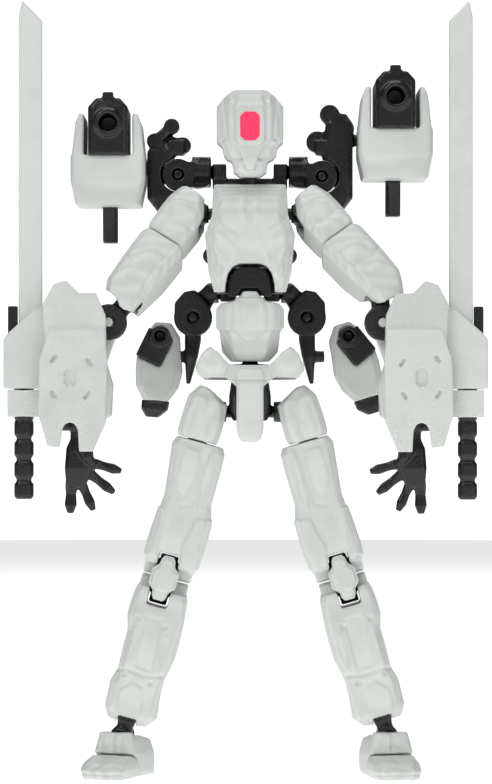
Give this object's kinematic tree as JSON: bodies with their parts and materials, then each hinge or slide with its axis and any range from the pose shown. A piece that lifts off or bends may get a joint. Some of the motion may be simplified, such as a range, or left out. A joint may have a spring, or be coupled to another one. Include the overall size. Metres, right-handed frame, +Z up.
{
  "type": "posable robot figure",
  "caption": "Posable humanoid robot figure with four extra arms holding pistols, and arm shields that carry swords, in pale plastic over black joints.",
  "frame": {"origin": "On the floor between the two feet, in the middle of the whole figure from side to side and about in the middle from front to back.", "axes": "The figure faces -Y, +Z is up and +X is its left side."},
  "size_m": [0.0959, 0.034, 0.155],
  "materials": {
    "shell": "satin",
    "joint": "gloss",
    "visor": "gloss"
  },
  "bodies": {
    "pelvis": {"pelvis_frame": "joint", "waist_armor": "shell"},
    "belly": {"belly_armor": "shell", "abdomen_frame": "joint"},
    "chest": {"chest_armor": "shell", "back_armor": "shell", "chest_frame": "joint"},
    "neck": {"neck_joint": "joint"},
    "head": {"head_shell": "shell", "visor_gem": "visor"},
    "shoulder_r": {"shoulder_joint_r": "joint"},
    "shoulder_cap_r": {"shoulder_shell_r": "shell"},
    "upper_arm_r": {"upper_arm_r": "shell"},
    "elbow_r": {"elbow_joint_r": "joint"},
    "forearm_r": {"forearm_shield_r": "shell"},
    "hand_r": {"hand_r": "joint"},
    "sword_r": {"sword_blade_r": "shell", "sword_grip_r": "joint"},
    "hip_r": {"hip_joint_r": "joint"},
    "thigh_top_r": {"upper_thigh_r": "shell"},
    "thigh_r": {"lower_thigh_r": "shell"},
    "knee_r": {"knee_frame_r": "joint", "knee_cap_r": "shell"},
    "shin_r": {"shin_shell_r": "shell"},
    "ankle_r": {"ankle_joint_r": "joint"},
    "heel_r": {"foot_heel_r": "shell"},
    "toe_r": {"foot_toe_r": "shell"},
    "rear_arm_r": {"rear_arm_r": "joint"},
    "rear_hand_r": {"rear_hand_r": "joint"},
    "pistol_r": {"pistol_body_r": "shell", "pistol_slide_r": "joint"},
    "low_arm_r": {"lower_arm_r": "joint"},
    "low_forearm_r": {"lower_forearm_r": "joint"},
    "gun_r": {"gun_body_r": "shell", "gun_barrel_r": "joint"},
    "shoulder_l": {"shoulder_joint_l": "joint"},
    "shoulder_cap_l": {"shoulder_shell_l": "shell"},
    "upper_arm_l": {"upper_arm_l": "shell"},
    "elbow_l": {"elbow_joint_l": "joint"},
    "forearm_l": {"forearm_shield_l": "shell"},
    "hand_l": {"hand_l": "joint"},
    "sword_l": {"sword_blade_l": "shell", "sword_grip_l": "joint"},
    "hip_l": {"hip_joint_l": "joint"},
    "thigh_top_l": {"upper_thigh_l": "shell"},
    "thigh_l": {"lower_thigh_l": "shell"},
    "knee_l": {"knee_frame_l": "joint", "knee_cap_l": "shell"},
    "shin_l": {"shin_shell_l": "shell"},
    "ankle_l": {"ankle_joint_l": "joint"},
    "heel_l": {"foot_heel_l": "shell"},
    "toe_l": {"foot_toe_l": "shell"},
    "rear_arm_l": {"rear_arm_l": "joint"},
    "rear_hand_l": {"rear_hand_l": "joint"},
    "pistol_l": {"pistol_body_l": "shell", "pistol_slide_l": "joint"},
    "low_arm_l": {"lower_arm_l": "joint"},
    "low_forearm_l": {"lower_forearm_l": "joint"},
    "gun_l": {"gun_body_l": "shell", "gun_barrel_l": "joint"}
  },
  "joints": [
    {"name": "waist_turn", "type": "hinge", "parent": "pelvis", "child": "belly", "pos_m": [0, 0, 0.0833], "axis": [0, 0, 1], "range_deg": [-25, 25]},
    {"name": "chest_tilt", "type": "hinge", "parent": "belly", "child": "chest", "pos_m": [0, 0, 0.0996], "axis": [1, 0, 0], "range_deg": [-8, 8]},
    {"name": "neck_nod", "type": "hinge", "parent": "chest", "child": "neck", "pos_m": [0, 0.0006, 0.1175], "axis": [1, 0, 0], "range_deg": [-12, 12]},
    {"name": "head_turn", "type": "hinge", "parent": "neck", "child": "head", "pos_m": [0, 0.0006, 0.122], "axis": [0, 0, 1], "range_deg": [-75, 75]},
    {"name": "shoulder_swing_r", "type": "hinge", "parent": "chest", "child": "shoulder_r", "pos_m": [-0.0109, 0, 0.113], "axis": [-1, 0, 0], "range_deg": [-15, 70]},
    {"name": "shoulder_raise_r", "type": "hinge", "parent": "shoulder_r", "child": "shoulder_cap_r", "pos_m": [-0.0109, 0, 0.113], "axis": [0, 0.9063, -0.4226], "range_deg": [-8, 25]},
    {"name": "upper_arm_turn_r", "type": "hinge", "parent": "shoulder_cap_r", "child": "upper_arm_r", "pos_m": [-0.0173, -0.00291, 0.10675], "axis": [-0.5635, -0.3491, -0.7487], "range_deg": [-20, 20]},
    {"name": "elbow_upper_r", "type": "hinge", "parent": "upper_arm_r", "child": "elbow_r", "pos_m": [-0.02409, -0.00817, 0.09548], "axis": [0, 1, 0], "range_deg": [-25, 25]},
    {"name": "elbow_lower_r", "type": "hinge", "parent": "elbow_r", "child": "forearm_r", "pos_m": [-0.02814, -0.00817, 0.09106], "axis": [0, -1, 0], "range_deg": [-30, 30]},
    {"name": "wrist_bend_r", "type": "hinge", "parent": "forearm_r", "child": "hand_r", "pos_m": [-0.03434, -0.00817, 0.07046], "axis": [1, 0, 0], "range_deg": [-30, 30]},
    {"name": "sword_draw_r", "type": "slide", "parent": "forearm_r", "child": "sword_r", "axis": [0, 0, 1], "range_m": [0, 0.015]},
    {"name": "hip_swing_r", "type": "hinge", "parent": "pelvis", "child": "hip_r", "pos_m": [-0.0076, 0, 0.0732], "axis": [-1, 0, 0], "range_deg": [-30, 75]},
    {"name": "hip_spread_r", "type": "hinge", "parent": "hip_r", "child": "thigh_top_r", "pos_m": [-0.0076, 0, 0.0732], "axis": [0, 1, 0], "range_deg": [-8, 32]},
    {"name": "thigh_turn_r", "type": "hinge", "parent": "thigh_top_r", "child": "thigh_r", "pos_m": [-0.01054, 0, 0.06748], "axis": [-0.2672, 0, -0.9636], "range_deg": [-30, 30]},
    {"name": "knee_upper_r", "type": "hinge", "parent": "thigh_r", "child": "knee_r", "pos_m": [-0.01662, 0, 0.04218], "axis": [0.9636, 0, -0.2672], "range_deg": [0, 60]},
    {"name": "knee_lower_r", "type": "hinge", "parent": "knee_r", "child": "shin_r", "pos_m": [-0.0179, 0, 0.03756], "axis": [0.9636, 0, -0.2672], "range_deg": [0, 60]},
    {"name": "ankle_pitch_r", "type": "hinge", "parent": "shin_r", "child": "ankle_r", "pos_m": [-0.02452, 0, 0.0122], "axis": [0.9636, 0, -0.2672], "range_deg": [-12, 25]},
    {"name": "ankle_roll_r", "type": "hinge", "parent": "ankle_r", "child": "heel_r", "pos_m": [-0.02564, 0, 0.00815], "axis": [0.4226, 0.9063, 0], "range_deg": [-15, 15]},
    {"name": "toe_bend_r", "type": "hinge", "parent": "heel_r", "child": "toe_r", "pos_m": [-0.02758, -0.00417, 0.0019], "axis": [-0.9063, 0.4226, 0], "range_deg": [0, 20]},
    {"name": "rear_swing_r", "type": "hinge", "parent": "chest", "child": "rear_arm_r", "pos_m": [-0.01, 0.0094, 0.122], "axis": [-1, 0, 0], "range_deg": [-15, 15]},
    {"name": "rear_raise_r", "type": "hinge", "parent": "rear_arm_r", "child": "rear_hand_r", "pos_m": [-0.0146, 0.0094, 0.1214], "axis": [0, 1, 0], "range_deg": [-8, 10]},
    {"name": "pistol_pitch_r", "type": "hinge", "parent": "rear_hand_r", "child": "pistol_r", "pos_m": [-0.0216, 0.0094, 0.1226], "axis": [-1, 0, 0], "range_deg": [-20, 20]},
    {"name": "low_swing_r", "type": "hinge", "parent": "chest", "child": "low_arm_r", "pos_m": [-0.0075, 0.011, 0.0974], "axis": [-1, 0, 0], "range_deg": [-12, 12]},
    {"name": "low_raise_r", "type": "hinge", "parent": "low_arm_r", "child": "low_forearm_r", "pos_m": [-0.0116, 0.011, 0.0924], "axis": [0, 1, 0], "range_deg": [-5, 30]},
    {"name": "gun_pitch_r", "type": "hinge", "parent": "low_forearm_r", "child": "gun_r", "pos_m": [-0.0145, 0.011, 0.0844], "axis": [-1, 0, 0], "range_deg": [-15, 15]},
    {"name": "shoulder_swing_l", "type": "hinge", "parent": "chest", "child": "shoulder_l", "pos_m": [0.0109, 0, 0.113], "axis": [-1, 0, 0], "range_deg": [-15, 70]},
    {"name": "shoulder_raise_l", "type": "hinge", "parent": "shoulder_l", "child": "shoulder_cap_l", "pos_m": [0.0109, 0, 0.113], "axis": [0, -0.887, 0.4617], "range_deg": [-8, 25]},
    {"name": "upper_arm_turn_l", "type": "hinge", "parent": "shoulder_cap_l", "child": "upper_arm_l", "pos_m": [0.01786, -0.00292, 0.10739], "axis": [-0.632, 0.3578, 0.6874], "range_deg": [-20, 20]},
    {"name": "elbow_upper_l", "type": "hinge", "parent": "upper_arm_l", "child": "elbow_l", "pos_m": [0.02569, -0.00837, 0.09692], "axis": [0, -1, 0], "range_deg": [-25, 25]},
    {"name": "elbow_lower_l", "type": "hinge", "parent": "elbow_l", "child": "forearm_l", "pos_m": [0.02642, -0.00837, 0.09096], "axis": [0, 1, 0], "range_deg": [-30, 30]},
    {"name": "wrist_bend_l", "type": "hinge", "parent": "forearm_l", "child": "hand_l", "pos_m": [0.03262, -0.00837, 0.07036], "axis": [1, 0, 0], "range_deg": [-30, 30]},
    {"name": "sword_draw_l", "type": "slide", "parent": "forearm_l", "child": "sword_l", "axis": [0, 0, 1], "range_m": [0, 0.015]},
    {"name": "hip_swing_l", "type": "hinge", "parent": "pelvis", "child": "hip_l", "pos_m": [0.0086, 0, 0.0732], "axis": [-1, 0, 0], "range_deg": [-30, 75]},
    {"name": "hip_spread_l", "type": "hinge", "parent": "hip_l", "child": "thigh_top_l", "pos_m": [0.0086, 0, 0.0732], "axis": [0, -1, 0], "range_deg": [-8, 32]},
    {"name": "thigh_turn_l", "type": "hinge", "parent": "thigh_top_l", "child": "thigh_l", "pos_m": [0.01162, 0, 0.06752], "axis": [-0.2807, 0, 0.9598], "range_deg": [-30, 30]},
    {"name": "knee_upper_l", "type": "hinge", "parent": "thigh_l", "child": "knee_l", "pos_m": [0.01805, 0, 0.04231], "axis": [0.9598, 0, 0.2807], "range_deg": [0, 60]},
    {"name": "knee_lower_l", "type": "hinge", "parent": "knee_l", "child": "shin_l", "pos_m": [0.0194, 0, 0.0377], "axis": [0.9598, 0, 0.2807], "range_deg": [0, 60]},
    {"name": "ankle_pitch_l", "type": "hinge", "parent": "shin_l", "child": "ankle_l", "pos_m": [0.02637, 0, 0.01244], "axis": [0.9598, 0, 0.2807], "range_deg": [-12, 25]},
    {"name": "ankle_roll_l", "type": "hinge", "parent": "ankle_l", "child": "heel_l", "pos_m": [0.02755, 0, 0.00815], "axis": [0.2079, -0.9781, 0], "range_deg": [-15, 15]},
    {"name": "toe_bend_l", "type": "hinge", "parent": "heel_l", "child": "toe_l", "pos_m": [0.0285, -0.0045, 0.0019], "axis": [-0.9781, -0.2079, 0], "range_deg": [0, 20]},
    {"name": "rear_swing_l", "type": "hinge", "parent": "chest", "child": "rear_arm_l", "pos_m": [0.01, 0.0094, 0.122], "axis": [-1, 0, 0], "range_deg": [-15, 15]},
    {"name": "rear_raise_l", "type": "hinge", "parent": "rear_arm_l", "child": "rear_hand_l", "pos_m": [0.0146, 0.0094, 0.121], "axis": [0, -1, 0], "range_deg": [-8, 10]},
    {"name": "pistol_pitch_l", "type": "hinge", "parent": "rear_hand_l", "child": "pistol_l", "pos_m": [0.0216, 0.0094, 0.1284], "axis": [-1, 0, 0], "range_deg": [-20, 20]},
    {"name": "low_swing_l", "type": "hinge", "parent": "chest", "child": "low_arm_l", "pos_m": [0.0075, 0.011, 0.0974], "axis": [-1, 0, 0], "range_deg": [-12, 12]},
    {"name": "low_raise_l", "type": "hinge", "parent": "low_arm_l", "child": "low_forearm_l", "pos_m": [0.0116, 0.011, 0.0924], "axis": [0, -1, 0], "range_deg": [-5, 30]},
    {"name": "gun_pitch_l", "type": "hinge", "parent": "low_forearm_l", "child": "gun_l", "pos_m": [0.0145, 0.011, 0.0844], "axis": [-1, 0, 0], "range_deg": [-15, 15]}
  ]
}
